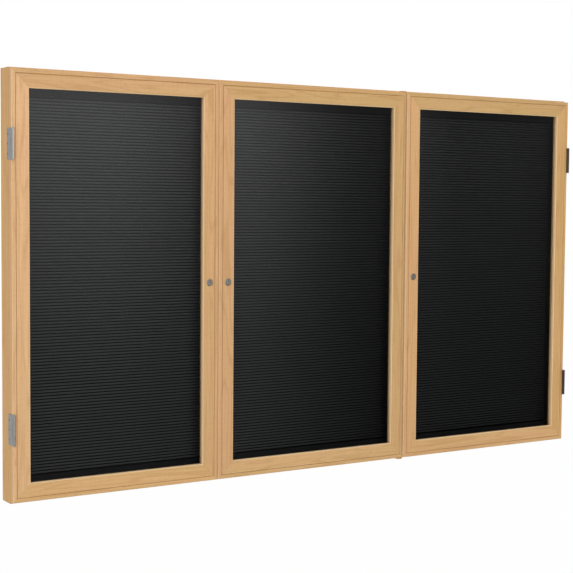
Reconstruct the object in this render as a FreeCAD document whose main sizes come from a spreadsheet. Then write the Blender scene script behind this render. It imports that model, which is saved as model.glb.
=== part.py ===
import FreeCAD, Part
import os
import Sketcher

# Wall-hung letter board: an oak cabinet with three hinged, glazed doors that lock.
# Frame: X to the viewer's right, Z up, Y into the wall. The origin is the centre of the
# rear face, which lies against the wall, so the doors face -Y. Sizes are in millimetres.

Vector = FreeCAD.Vector
Rotation = FreeCAD.Rotation

SIZES = {
    # Whole board, from the doors' front face to the wall
    "board_width": 1829.0,
    "board_height": 1067.0,
    "board_depth": 70.0,
    # Bays, from the board's left edge; the right bay takes the rest of the width
    "left_bay_width": 576.0,
    "middle_bay_width": 622.0,
    # Cabinet behind the doors
    "side_thickness": 19.0,
    "back_thickness": 12.0,
    "back_rebate": 9.0,
    "cabinet_arris": 1.5,
    "mullion_thickness": 19.0,
    # Letter panels and the plain strips round them
    "panel_thickness": 13.0,
    "panel_clearance": 0.5,
    "groove_pitch": 7.8,
    "groove_mouth": 2.4,
    "groove_floor": 1.6,
    "groove_depth": 3.0,
    "groove_margin": 30.0,
    "trim_thickness": 3.0,
    "side_trim_width": 20.0,
    "top_trim_width": 46.0,
    "bottom_trim_width": 38.0,
    # Holes for the wall screws, in from the board's edges
    "wall_screw_radius": 3.25,
    "wall_screw_from_side": 60.0,
    "wall_screw_from_end": 38.0,
    # Doors
    "door_thickness": 16.0,
    "door_gap": 2.0,
    "door_back_gap": 1.0,
    "door_end_reveal": 4.0,
    "moulding_width": 46.0,
    "bead_width": 10.0,
    "bead_round": 1.0,
    "quirk_width": 2.0,
    "quirk_depth": 1.5,
    "outer_round": 2.5,
    "inner_chamfer": 1.5,
    "pane_setback": 9.0,
    "pane_thickness": 3.0,
    "pane_rebate": 8.0,
    "pane_clearance": 1.0,
    "glazing_strip_width": 7.0,
    # Butt hinges of the two outer doors
    "hinge_height": 76.0,
    "hinge_from_end": 185.0,
    "end_knuckle": 19.5,
    "knuckle_gap": 0.3,
    "barrel_radius": 4.0,
    "barrel_stand_off": 0.5,
    "hinge_axis_inset": 1.5,
    "leaf_thickness": 1.6,
    "leaf_gap": 0.4,
    "fixed_leaf_reach": 26.0,
    "door_leaf_reach": 14.0,
    "mortise_clearance": 0.3,
    "hinge_pin_radius": 1.75,
    "running_clearance": 0.05,
    "pin_head_radius": 2.8,
    "pin_head_height": 1.0,
    # Concealed pivots of the middle door
    "bracket_thickness": 3.0,
    "bracket_reach": 30.0,
    "pivot_pin_radius": 2.5,
    "pivot_pin_length": 13.0,
    "bush_radius": 4.0,
    "bush_length": 14.0,
    "bush_flange_radius": 6.0,
    "bush_flange_thickness": 0.7,
    "nose_relief": 0.05,
    # Cam locks
    "lock_from_gap": 28.0,
    "lock_drop": 1.0,
    "lock_head_radius": 9.5,
    "lock_head_height": 2.5,
    "lock_head_bevel": 1.2,
    "lock_barrel_radius": 8.0,
    "lock_barrel_reach": 5.0,
    "lock_hole_clearance": 0.1,
    "lock_plug_radius": 5.5,
    "lock_plug_recess": 0.4,
    "keyway_width": 1.6,
    "keyway_height": 7.0,
    "keyway_depth": 8.0,
    "lock_nut_flats": 22.0,
    "lock_nut_thickness": 3.0,
    "cam_setback": 2.5,
    "cam_thickness": 2.0,
    "cam_width": 10.0,
    "cam_reach": 16.0,
    "cam_square": 7.0,
    "rivet_radius": 4.7,
    "rivet_height": 1.0,
    # Strike plates on the mullions
    "strike_height": 30.0,
    "strike_lip": 9.0,
    "strike_depth": 18.0,
    "strike_thickness": 1.5,
    "strike_cam_gap": 1.0,
}

doc = FreeCAD.newDocument("letter_board")
sheet = doc.addObject("Spreadsheet::Sheet", "Sizes")
for row, (alias, amount) in enumerate(SIZES.items(), start=1):
    sheet.set(f"A{row}", alias)
    sheet.set(f"B{row}", str(amount))
    sheet.setAlias(f"B{row}", alias)
doc.recompute()


class Size:
    """A number that keeps the spreadsheet formula it was worked out with."""

    def __init__(self, value, formula):
        self.value = value
        self.formula = formula

    def __add__(self, other):
        other = as_size(other)
        return Size(self.value + other.value, f"({self.formula} + {other.formula})")

    def __sub__(self, other):
        other = as_size(other)
        return Size(self.value - other.value, f"({self.formula} - {other.formula})")

    def __mul__(self, other):
        other = as_size(other)
        return Size(self.value * other.value, f"({self.formula} * {other.formula})")

    def __truediv__(self, other):
        other = as_size(other)
        return Size(self.value / other.value, f"({self.formula} / {other.formula})")

    def __neg__(self):
        return self * -1


def as_size(number):
    if isinstance(number, Size):
        return number
    return Size(float(number), f"({float(number)})")


def size(alias):
    return Size(float(sheet.get(alias)), f"Sizes.{alias}")


ZERO = as_size(0)
# How far a cutting tool runs past the piece it cuts
OVERRUN = as_size(1)
SQRT_THREE = 3 ** 0.5

# Planes and levels that the pieces share
half_width = size("board_width") / 2
half_height = size("board_height") / 2
first_gap = size("left_bay_width") - half_width
second_gap = first_gap + size("middle_bay_width")
half_gap = size("door_gap") / 2
door_front = -size("board_depth")
door_back = door_front + size("door_thickness")
cabinet_front = door_back + size("door_back_gap")
back_front = -size("back_thickness")
panel_front = back_front - size("panel_thickness")
trim_front = panel_front - size("trim_thickness")
inner_side = half_width - size("side_thickness")
inner_end = half_height - size("side_thickness")
half_mullion = size("mullion_thickness") / 2
door_end = half_height - size("door_end_reveal")
lock_level = -size("lock_drop")
hinge_level = half_height - size("hinge_from_end")
barrel_back = door_back + size("lock_barrel_reach")
cam_front = barrel_back + size("cam_setback")

# The three bays, from the inside faces of the sides and mullions
BAYS = {
    "left": (-inner_side, first_gap - half_mullion),
    "middle": (first_gap + half_mullion, second_gap - half_mullion),
    "right": (second_gap + half_mullion, inner_side),
}

nodes = []


def keep(label, item):
    """Name a finished sub-part and list it for the files."""
    item.Label = label
    nodes.append(item)
    return item


def bind(item, prop, amount):
    item.setExpression(prop, as_size(amount).formula)


def place(item, at, turn=None):
    """Put an object at a bound point, turned first about its own origin."""
    base = [as_size(part) for part in at]
    where = Vector(*[part.value for part in base])
    item.Placement = FreeCAD.Placement(where, turn or Rotation())
    for letter, part in zip("xyz", base):
        bind(item, f"Placement.Base.{letter}", part)
    return item


def ordered(one, other):
    """Two sizes, the smaller first."""
    return (one, other) if one.value < other.value else (other, one)


def box(name, across, deep, up):
    """A box from three pairs of bound planes, each pair in either order."""
    item = doc.addObject("Part::Box", name)
    corner = []
    for prop, (one, other) in zip(("Length", "Width", "Height"), (across, deep, up)):
        low, high = ordered(as_size(one), as_size(other))
        setattr(item, prop, (high - low).value)
        bind(item, prop, high - low)
        corner.append(low)
    return place(item, corner)


def rod(name, at, radius, length, turn=None):
    """A cylinder that starts at a point; it runs up along Z unless turned."""
    item = doc.addObject("Part::Cylinder", name)
    item.Radius = as_size(radius).value
    item.Height = as_size(length).value
    bind(item, "Radius", radius)
    bind(item, "Height", length)
    return place(item, at, turn)


ALONG_Y = Rotation(Vector(1, 0, 0), -90)


def fuse(name, items):
    item = doc.addObject("Part::MultiFuse", name)
    item.Shapes = items
    item.Refine = True
    return item


def cut(name, base, tools):
    """Take one or more tools away from a base."""
    item = doc.addObject("Part::Cut", name)
    item.Base = base
    item.Tool = tools[0] if len(tools) == 1 else fuse(name + "_tools", tools)
    return item


def group(name, items):
    """Alike solids that share one sub-part."""
    item = doc.addObject("Part::Compound", name)
    item.Links = items
    return item


def mirrored(name, source):
    """The mirror image of an object in the board's middle plane."""
    item = doc.addObject("Part::Mirroring", name)
    item.Source = source
    item.Normal = Vector(1, 0, 0)
    return item


def origin_plane(body, role):
    for feature in body.Origin.OriginFeatures:
        if feature.Role == role:
            return feature
    raise ValueError(role)


def outline_sketch(body, name, role, loops):
    """Closed outlines on an origin plane, with every corner bound to the sheet."""
    sketch = body.newObject("Sketcher::SketchObject", name)
    sketch.AttachmentSupport = [(origin_plane(body, role), "")]
    sketch.MapMode = "FlatFace"
    for loop in loops:
        corners = [(as_size(across), as_size(up)) for across, up in loop]
        points = [Vector(across.value, up.value, 0) for across, up in corners]
        first = sketch.GeometryCount
        count = len(corners)
        for index in range(count):
            line = Part.LineSegment(points[index], points[(index + 1) % count])
            sketch.addGeometry(line, False)
        for index in range(count):
            following = first + (index + 1) % count
            sketch.addConstraint(Sketcher.Constraint("Coincident", first + index, 2, following, 1))
        for index, (across, up) in enumerate(corners):
            hold_point(sketch, first + index, "DistanceX", -2, across)
            hold_point(sketch, first + index, "DistanceY", -1, up)
    return sketch


def hold_point(sketch, line, kind, axis, amount):
    """Hold the start of a line at one bound coordinate, or on the axis where it is nought."""
    if amount.value == 0:
        sketch.addConstraint(Sketcher.Constraint("PointOnObject", line, 1, axis))
        return
    number = sketch.addConstraint(Sketcher.Constraint(kind, -1, 1, line, 1, amount.value))
    sketch.setExpression(f"Constraints[{number}]", amount.formula)


def pad(body, name, sketch, length):
    """Raise a sketch evenly to both sides of its plane."""
    feature = body.newObject("PartDesign::Pad", name)
    feature.Profile = sketch
    feature.Midplane = True
    feature.Length = as_size(length).value
    bind(feature, "Length", length)
    doc.recompute()
    return feature


def pocket(body, name, sketch, depth=None):
    """Cut a sketch into the body, or right through it when no depth is given."""
    before = body.Shape.Volume
    feature = body.newObject("PartDesign::Pocket", name)
    feature.Profile = sketch
    if depth is None:
        feature.Type = "ThroughAll"
        feature.Midplane = True
    else:
        feature.Length = as_size(depth).value
        bind(feature, "Length", depth)
    doc.recompute()
    if body.Shape.Volume >= before:
        raise RuntimeError(f"{body.Label}: {name} cuts nothing")
    return feature


def round_long_edge(body, name, radius, depth, across):
    """Round the edge that runs along a moulding at one place in its section."""
    base = body.Tip
    near = 1e-4

    def runs_there(edge):
        return all(
            abs(end.Y - depth.value) < near and abs(end.Z - across.value) < near
            for end in edge.Vertexes)

    found = [number for number, edge in enumerate(base.Shape.Edges, start=1) if runs_there(edge)]
    feature = body.newObject("PartDesign::Fillet", name)
    feature.Base = (base, [f"Edge{number}" for number in found])
    feature.Radius = radius.value
    bind(feature, "Radius", radius)
    doc.recompute()


# How a member is turned to lie along each edge of a frame
EDGE_TURNS = {
    "bottom": Rotation(),
    "top": Rotation(Vector(0, 1, 0), 180),
    "left": Rotation(Vector(0, 1, 0), 90),
    "right": Rotation(Vector(0, 1, 0), -90),
}


def mitred_member(name, length, section, width, rounds, at, edge):
    """One stick of a frame: a section run along X, mitred at both ends, then turned.

    The section's corners are (depth from the front, distance in from the outer edge).
    """
    body = doc.addObject("PartDesign::Body", name)
    profile = outline_sketch(body, name + "_section", "YZ_Plane", [section])
    pad(body, name + "_run", profile, length)
    for number, (depth, across, radius) in enumerate(rounds):
        round_long_edge(body, f"{name}_round_{number}", radius, depth, across)
    half = length / 2
    ends = outline_sketch(body, name + "_mitres", "XZ_Plane", [
        [(half, ZERO), (half, width), (half - width, width)],
        [(-half, ZERO), (-half, width), (width - half, width)],
    ])
    pocket(body, name + "_mitre_cut", ends)
    return place(body, at, EDGE_TURNS[edge])


def frame_members(name, left, right, end, front, section, width, rounds):
    """The four mitred members of one frame, keyed by the edge each lies along."""
    middle = (left + right) / 2
    spots = {
        "top": (right - left, (middle, front, end)),
        "bottom": (right - left, (middle, front, -end)),
        "left": (end * 2, (left, front, ZERO)),
        "right": (end * 2, (right, front, ZERO)),
    }
    return {
        edge: mitred_member(f"{name}_{edge}", length, section, width, rounds, at, edge)
        for edge, (length, at) in spots.items()
    }


# Pivots of the middle door: the axis lies inside the door, at its rounded right edge

nose_radius = size("door_thickness") / 2
pivot_across = second_gap - half_gap - nose_radius
pivot_deep = door_front + nose_radius


def make_cabinet_frame():
    """Four oak boards, rebated behind for the back panel and let in for the brackets."""
    depth = -cabinet_front
    lip = size("side_thickness") - size("back_rebate")
    shoulder = depth - size("back_thickness")
    section = [
        (ZERO, ZERO),
        (ZERO, size("side_thickness")),
        (shoulder, size("side_thickness")),
        (shoulder, lip),
        (depth, lip),
        (depth, ZERO),
    ]
    rounds = [(ZERO, ZERO, size("cabinet_arris"))]
    members = frame_members(
        "cabinet", -half_width, half_width, half_height, cabinet_front,
        section, size("side_thickness"), rounds)
    clear = size("mortise_clearance")
    for edge, up in (("top", 1), ("bottom", -1)):
        seat = box(
            f"cabinet_{edge}_bracket_seat",
            (pivot_across - nose_radius - clear, pivot_across + nose_radius + clear),
            (cabinet_front - OVERRUN, cabinet_front + size("bracket_reach") + clear),
            ((half_height - size("bracket_thickness")) * up, (half_height + OVERRUN) * up))
        keep(f"cabinet_{edge}_rail", cut(f"cabinet_{edge}_cut", members[edge], [seat]))
    keep("cabinet_left_side", members["left"])
    keep("cabinet_right_side", members["right"])


def wall_screw_holes(name, front, back, sides):
    """Clearance holes near the board's corners, through one layer of the back."""
    across = half_width - size("wall_screw_from_side")
    level = half_height - size("wall_screw_from_end")
    holes = []
    for side in sides:
        for height in (level, -level):
            holes.append(rod(
                f"{name}_screw_hole_{len(holes)}",
                (across * side, front - OVERRUN, height),
                size("wall_screw_radius"), back - front + OVERRUN * 2, ALONG_Y))
    return holes


# Which side of the board each bay's wall screws are on
SCREW_SIDES = {"left": (-1,), "middle": (), "right": (1,)}


def make_back_panel():
    lip = size("side_thickness") - size("back_rebate")
    board = box("back_board", (lip - half_width, half_width - lip), (back_front, ZERO),
                (lip - half_height, half_height - lip))
    holes = wall_screw_holes("back", back_front, ZERO, (-1, 1))
    keep("back_panel", cut("back_panel_cut", board, holes))


def make_mullions():
    for side, middle in (("left", first_gap), ("right", second_gap)):
        keep(f"{side}_mullion", box(
            f"{side}_mullion_board", (middle - half_mullion, middle + half_mullion),
            (cabinet_front, back_front), (-inner_end, inner_end)))


def make_letter_panel(side):
    """A felt-covered board with level grooves that hold the letters' tabs."""
    left, right = BAYS[side]
    clear = size("panel_clearance")
    height = (inner_end - clear) * 2
    thick = size("panel_thickness")
    name = f"{side}_letter_panel"
    body = doc.addObject("PartDesign::Body", name + "_body")
    blank = outline_sketch(body, name + "_blank", "YZ_Plane", [
        [(ZERO, ZERO), (thick, ZERO), (thick, height), (ZERO, height)],
    ])
    pad(body, name + "_board", blank, right - left - clear * 2)
    mouth = size("groove_mouth")
    pitch = size("groove_pitch")
    room = height - size("groove_margin") * 2 - mouth
    count = int(room.value // pitch.value) + 1
    run = pitch * (count - 1)
    low = (height - run - mouth) / 2
    taper = (mouth - size("groove_floor")) / 2
    deep = size("groove_depth")
    slot = outline_sketch(body, name + "_slot", "YZ_Plane", [
        [(ZERO, low), (deep, low + taper), (deep, low + mouth - taper), (ZERO, low + mouth)],
    ])
    groove = pocket(body, name + "_groove", slot)
    grooves = body.newObject("PartDesign::LinearPattern", name + "_grooves")
    grooves.Originals = [groove]
    grooves.Direction = (slot, ["V_Axis"])
    grooves.Occurrences = count
    grooves.Length = run.value
    bind(grooves, "Length", run)
    body.Tip = grooves
    doc.recompute()
    place(body, ((left + right) / 2, panel_front, clear - inner_end))
    holes = wall_screw_holes(name, panel_front, back_front, SCREW_SIDES[side])
    keep(name, cut(name + "_cut", body, holes) if holes else body)


def make_panel_trim(side):
    """Four plain strips that cover the edges of one letter panel."""
    left, right = BAYS[side]
    name = f"{side}_panel_trim"
    deep = (trim_front, panel_front)
    top = inner_end - size("top_trim_width")
    bottom = size("bottom_trim_width") - inner_end
    wide = size("side_trim_width")
    strips = group(name + "_strips", [
        box(name + "_top", (left, right), deep, (top, inner_end)),
        box(name + "_bottom", (left, right), deep, (-inner_end, bottom)),
        box(name + "_left", (left, left + wide), deep, (bottom, top)),
        box(name + "_right", (right - wide, right), deep, (bottom, top)),
    ])
    holes = wall_screw_holes(name, trim_front, panel_front, SCREW_SIDES[side])
    keep(name, cut(name + "_cut", strips, holes) if holes else strips)


# Where each lock turns, and the side of its mullion that it locks to
LOCKS = {
    "left": (first_gap, -1),
    "middle": (first_gap, 1),
    "right": (second_gap, 1),
}


def lock_across(side):
    gap, way = LOCKS[side]
    return gap + size("lock_from_gap") * way


def make_strike_plates():
    """Angle plates on the mullions; each cam turns in behind its plate's lip."""
    thick = size("strike_thickness")
    front = cam_front - size("strike_cam_gap") - thick
    plates = []
    for side, (gap, way) in LOCKS.items():
        name = f"{side}_strike"
        body = doc.addObject("PartDesign::Body", name)
        angle = outline_sketch(body, name + "_angle", "XY_Plane", [[
            (ZERO, ZERO),
            (size("strike_lip") * way, ZERO),
            (size("strike_lip") * way, thick),
            (thick * way, thick),
            (thick * way, size("strike_depth")),
            (ZERO, size("strike_depth")),
        ]])
        pad(body, name + "_pad", angle, size("strike_height"))
        plates.append(place(body, (gap + half_mullion * way, front, lock_level)))
    keep("strike_plates", group("strike_plate_group", plates))


# Doors

def door_section():
    """Bead and V-shaped quirk outside, flat face, chamfer, and the rebate for the pane."""
    wide = size("moulding_width")
    bead = size("bead_width")
    quirk = size("quirk_width")
    chamfer = size("inner_chamfer")
    rebate = wide - size("pane_rebate")
    return [
        (ZERO, ZERO),
        (ZERO, bead),
        (size("quirk_depth"), bead + quirk / 2),
        (ZERO, bead + quirk),
        (ZERO, wide - chamfer),
        (chamfer, wide),
        (size("pane_setback"), wide),
        (size("pane_setback"), rebate),
        (size("door_thickness"), rebate),
        (size("door_thickness"), ZERO),
    ]


def leaf_mortises(side):
    """Seats in the edge of an outer door for its two hinge leaves."""
    way = -1 if side == "left" else 1
    clear = size("mortise_clearance")
    reach = size("hinge_height") / 2 + clear
    floor = half_width - size("leaf_gap") - size("leaf_thickness")
    return [
        box(f"{side}_mortise_{number}",
            (floor * way, (half_width + OVERRUN) * way),
            (door_front - OVERRUN, door_front + size("door_leaf_reach") + clear),
            (level - reach, level + reach))
        for number, level in enumerate((hinge_level, -hinge_level))
    ]


def nose_waste(name):
    """What is planed off to round the middle door's right edge about its pivot."""
    block = box(name + "_block",
                (pivot_across, pivot_across + nose_radius + OVERRUN),
                (door_front - OVERRUN, door_back + OVERRUN),
                (-half_height, half_height))
    core = rod(name + "_core", (pivot_across, pivot_deep, -half_height),
               nose_radius - size("nose_relief"), half_height * 2)
    return cut(name, block, [core])


def bush_bores(name):
    """Bores for the pivot bushes, which cross the mitre between stile and rail."""
    deep = size("bush_length")
    return [
        rod(f"{name}_upper_bore", (pivot_across, pivot_deep, door_end - deep),
            size("bush_radius"), deep + OVERRUN),
        rod(f"{name}_lower_bore", (pivot_across, pivot_deep, -door_end - OVERRUN),
            size("bush_radius"), deep + OVERRUN),
    ]


def make_door(side, left, right):
    """The mitred frame of one door with its pane and glazing strips."""
    wide = size("moulding_width")
    rounds = [
        (ZERO, ZERO, size("outer_round")),
        (ZERO, size("bead_width"), size("bead_round")),
    ]
    members = frame_members(
        f"{side}_door", left, right, door_end, door_front, door_section(), wide, rounds)
    hinge_edge, lock_edge = ("left", "right") if side == "left" else ("right", "left")
    lock_hole = rod(f"{side}_lock_hole", (lock_across(side), door_front - OVERRUN, lock_level),
                    size("lock_barrel_radius") + size("lock_hole_clearance"),
                    size("door_thickness") + OVERRUN * 2, ALONG_Y)
    tools = {"top": [], "bottom": [], lock_edge: [lock_hole]}
    if side == "middle":
        for edge in ("top", "bottom", hinge_edge):
            name = f"middle_door_{edge}_pivot"
            tools[edge] = [nose_waste(name + "_nose")] + bush_bores(name)
    else:
        tools[hinge_edge] = leaf_mortises(side)
    names = {
        "top": "top_rail", "bottom": "bottom_rail",
        hinge_edge: "hinge_stile", lock_edge: "lock_stile",
    }
    for edge, name in names.items():
        piece = members[edge]
        if tools[edge]:
            piece = cut(f"{side}_door_{name}_cut", piece, tools[edge])
        keep(f"{side}_door_{name}", piece)

    rebate = wide - size("pane_rebate")
    edge = rebate + size("pane_clearance")
    pane_front = door_front + size("pane_setback")
    pane_back = pane_front + size("pane_thickness")
    keep(f"{side}_door_pane", box(
        f"{side}_door_sheet", (left + edge, right - edge), (pane_front, pane_back),
        (edge - door_end, door_end - edge)))
    name = f"{side}_door_strip"
    strip = rebate + size("glazing_strip_width")
    deep = (pane_back, door_back)
    keep(f"{side}_door_glazing_strips", group(name + "_group", [
        box(name + "_top", (left + rebate, right - rebate), deep,
            (door_end - strip, door_end - rebate)),
        box(name + "_bottom", (left + rebate, right - rebate), deep,
            (rebate - door_end, strip - door_end)),
        box(name + "_left", (left + rebate, left + strip), deep,
            (strip - door_end, door_end - strip)),
        box(name + "_right", (right - strip, right - rebate), deep,
            (strip - door_end, door_end - strip)),
    ]))


# Butt hinges: the barrel stands just in front of the door's outer corner

def make_left_hinge(name, level):
    """The fixed leaf, door leaf and pin of one hinge on the board's left edge."""
    across = size("hinge_axis_inset") - half_width
    deep = door_front - size("barrel_stand_off") - size("barrel_radius")
    low = level - size("hinge_height") / 2
    high = level + size("hinge_height") / 2
    lower = low + size("end_knuckle")
    upper = high - size("end_knuckle")
    gap = size("knuckle_gap")
    bore_radius = size("hinge_pin_radius") + size("running_clearance")
    thick = size("leaf_thickness")

    def barrel(part, start, end):
        return rod(f"{name}_{part}", (across, deep, start), size("barrel_radius"), end - start)

    def bored(part, pieces):
        bore = rod(f"{name}_{part}_bore", (across, deep, low - OVERRUN),
                   bore_radius, high - low + OVERRUN * 2)
        return cut(f"{name}_{part}_cut", fuse(f"{name}_{part}_solid", pieces), [bore])

    outside = (-half_width - thick, -half_width)
    fixed = bored("fixed", [
        box(name + "_fixed_plate", outside,
            (door_front, door_front + size("fixed_leaf_reach")), (low, high)),
        box(name + "_lower_neck", outside, (deep, door_front), (low, lower)),
        box(name + "_upper_neck", outside, (deep, door_front), (upper, high)),
        barrel("lower_knuckle", low, lower),
        barrel("upper_knuckle", upper, high),
    ])
    seat = size("leaf_gap") - half_width
    inside = (seat, seat + thick)
    door = bored("door", [
        box(name + "_door_plate", inside,
            (door_front, door_front + size("door_leaf_reach")), (low, high)),
        box(name + "_middle_neck", inside, (deep, door_front), (lower + gap, upper - gap)),
        barrel("middle_knuckle", lower + gap, upper - gap),
    ])
    head = size("pin_head_height")
    pin = fuse(name + "_pin", [
        rod(name + "_shaft", (across, deep, low), size("hinge_pin_radius"), high - low),
        rod(name + "_foot", (across, deep, low - head), size("pin_head_radius"), head),
        rod(name + "_cap", (across, deep, high), size("pin_head_radius"), head),
    ])
    return fixed, door, pin


def make_hinges():
    left_pins = []
    right_pins = []
    for spot, level in (("upper", hinge_level), ("lower", -hinge_level)):
        fixed, door, pin = make_left_hinge(f"left_{spot}_hinge", level)
        keep(f"left_{spot}_hinge_fixed_leaf", fixed)
        keep(f"left_{spot}_hinge_door_leaf", door)
        keep(f"right_{spot}_hinge_fixed_leaf", mirrored(f"right_{spot}_fixed", fixed))
        keep(f"right_{spot}_hinge_door_leaf", mirrored(f"right_{spot}_door", door))
        left_pins.append(pin)
        right_pins.append(mirrored(f"right_{spot}_pin", pin))
    keep("left_hinge_pins", group("left_pin_group", left_pins))
    keep("right_hinge_pins", group("right_pin_group", right_pins))


def make_pivots():
    """Brackets let into the cabinet above and below, and the bushes they turn in."""
    bushes = []
    for spot, up in (("upper", 1), ("lower", -1)):
        name = f"{spot}_pivot"
        face = half_height * up
        under = (half_height - size("bracket_thickness")) * up
        levels = ordered(face, under)
        strap = box(name + "_strap",
                    (pivot_across - nose_radius, pivot_across + nose_radius),
                    (pivot_deep, cabinet_front + size("bracket_reach")), levels)
        nose = rod(name + "_round", (pivot_across, pivot_deep, levels[0]),
                   nose_radius, size("bracket_thickness"))
        tip = under - size("pivot_pin_length") * up
        start, stop = ordered(under, tip)
        pin = rod(name + "_pin", (pivot_across, pivot_deep, start),
                  size("pivot_pin_radius"), stop - start)
        keep(f"{spot}_pivot_bracket", fuse(name + "_fuse", [strap, nose, pin]))

        door_face = door_end * up
        flange = ordered(door_face, door_face + size("bush_flange_thickness") * up)
        sleeve = ordered(door_face, door_face - size("bush_length") * up)
        whole = fuse(name + "_bush_solid", [
            rod(name + "_flange", (pivot_across, pivot_deep, flange[0]),
                size("bush_flange_radius"), flange[1] - flange[0]),
            rod(name + "_sleeve", (pivot_across, pivot_deep, sleeve[0]),
                size("bush_radius"), sleeve[1] - sleeve[0]),
        ])
        ends = ordered(flange[0] - size("bush_length"), flange[1] + size("bush_length"))
        bore = rod(name + "_bush_bore", (pivot_across, pivot_deep, ends[0]),
                   size("pivot_pin_radius") + size("running_clearance"), ends[1] - ends[0])
        bushes.append(cut(name + "_bush", whole, [bore]))
    keep("middle_door_pivot_bushes", group("bush_group", bushes))


# Cam locks

def turned(name, outline):
    """A body turned about its own Y axis from corners of (radius, depth)."""
    body = doc.addObject("PartDesign::Body", name)
    sketch = outline_sketch(body, name + "_outline", "XY_Plane", [outline])
    feature = body.newObject("PartDesign::Revolution", name + "_turned")
    feature.Profile = sketch
    feature.ReferenceAxis = (sketch, ["V_Axis"])
    feature.Angle = 360
    doc.recompute()
    return body


def make_lock_barrel(side, at):
    head = size("lock_head_height")
    bevel = size("lock_head_bevel")
    bore = size("lock_plug_radius") + size("running_clearance")
    reach = barrel_back - door_front
    barrel = turned(f"{side}_lock_barrel_body", [
        (bore, -head),
        (size("lock_head_radius") - bevel, -head),
        (size("lock_head_radius"), bevel - head),
        (size("lock_head_radius"), ZERO),
        (size("lock_barrel_radius"), ZERO),
        (size("lock_barrel_radius"), reach),
        (bore, reach),
    ])
    keep(f"{side}_lock_barrel", place(barrel, at))


def make_lock_nut(side, at):
    """A hexagon nut, point upwards, tight against the back of the stile."""
    half = size("lock_nut_flats") / 2
    short = half / SQRT_THREE
    nut = doc.addObject("PartDesign::Body", f"{side}_nut_body")
    hexagon = outline_sketch(nut, f"{side}_hexagon", "XZ_Plane", [[
        (half, short), (ZERO, short * 2), (-half, short),
        (-half, -short), (ZERO, short * -2), (half, -short),
    ]])
    thick = size("lock_nut_thickness")
    pad(nut, f"{side}_nut_blank", hexagon, thick)
    place(nut, (at[0], door_back + thick / 2, at[2]))
    thread = rod(f"{side}_nut_thread", (at[0], door_back - OVERRUN, at[2]),
                 size("lock_barrel_radius") + size("running_clearance"),
                 thick + OVERRUN * 2, ALONG_Y)
    keep(f"{side}_lock_nut", cut(f"{side}_nut_cut", nut, [thread]))


def make_lock_plug(side, at):
    """A round bar with a keyway, then a square for the cam and a riveted end."""
    front = size("lock_head_height") - size("lock_plug_recess")
    bar = turned(f"{side}_lock_bar", [
        (ZERO, -front),
        (size("lock_plug_radius"), -front),
        (size("lock_plug_radius"), cam_front - door_front),
        (ZERO, cam_front - door_front),
    ])
    wide = size("keyway_width") / 2
    tall = size("keyway_height") / 2
    keyway = outline_sketch(bar, f"{side}_keyway", "XZ_Plane", [
        [(-wide, -tall), (wide, -tall), (wide, tall), (-wide, tall)],
    ])
    keyway.AttachmentOffset = FreeCAD.Placement(Vector(0, 0, front.value), Rotation())
    bind(keyway, "AttachmentOffset.Base.z", front)
    pocket(bar, f"{side}_keyway_cut", keyway, size("keyway_depth"))
    place(bar, at)
    half = size("cam_square") / 2
    cam_back = cam_front + size("cam_thickness")
    square = box(f"{side}_plug_square", (at[0] - half, at[0] + half), (cam_front, cam_back),
                 (at[2] - half, at[2] + half))
    rivet = rod(f"{side}_plug_rivet", (at[0], cam_back, at[2]),
                size("rivet_radius"), size("rivet_height"), ALONG_Y)
    keep(f"{side}_lock_plug", fuse(f"{side}_plug_solid", [bar, square, rivet]))


def make_lock_cam(side, at):
    """A flat finger that hangs down while the door is unlocked."""
    half = size("cam_width") / 2
    thick = size("cam_thickness")
    tip = at[2] - size("cam_reach") + half
    deep = (cam_front, cam_front + thick)
    finger = fuse(f"{side}_cam_solid", [
        box(f"{side}_cam_shank", (at[0] - half, at[0] + half), deep, (tip, at[2])),
        rod(f"{side}_cam_tip", (at[0], cam_front, tip), half, thick, ALONG_Y),
        rod(f"{side}_cam_boss", (at[0], cam_front, at[2]),
            size("lock_plug_radius"), thick, ALONG_Y),
    ])
    hole = size("cam_square") / 2 + size("running_clearance")
    socket = box(f"{side}_cam_socket", (at[0] - hole, at[0] + hole),
                 (cam_front - OVERRUN, cam_front + thick + OVERRUN),
                 (at[2] - hole, at[2] + hole))
    keep(f"{side}_lock_cam", cut(f"{side}_cam_cut", finger, [socket]))


make_cabinet_frame()
make_back_panel()
make_mullions()
for bay in BAYS:
    make_letter_panel(bay)
    make_panel_trim(bay)
make_strike_plates()
make_door("left", -half_width, first_gap - half_gap)
make_door("middle", first_gap + half_gap, second_gap - half_gap)
make_door("right", second_gap + half_gap, half_width)
make_hinges()
make_pivots()
for door in LOCKS:
    centre = (lock_across(door), door_front, lock_level)
    make_lock_barrel(door, centre)
    make_lock_nut(door, centre)
    make_lock_plug(door, centre)
    make_lock_cam(door, centre)

doc.recompute()
for item in doc.Objects:
    if "Invalid" in item.State or "Error" in item.State:
        raise RuntimeError(f"{item.Label}: {item.State}")
for item in nodes:
    if item.Shape.isNull() or not item.Shape.isValid() or not item.Shape.Solids:
        raise RuntimeError(f"{item.Label}: its shape is not sound")

os.makedirs("parts", exist_ok=True)
for item in nodes:
    item.Shape.exportStep(f"parts/{item.Label}.step")
print(len(nodes), "sub-parts written")
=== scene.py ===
import math
import bpy
from mathutils import Euler, Matrix, Vector


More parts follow.
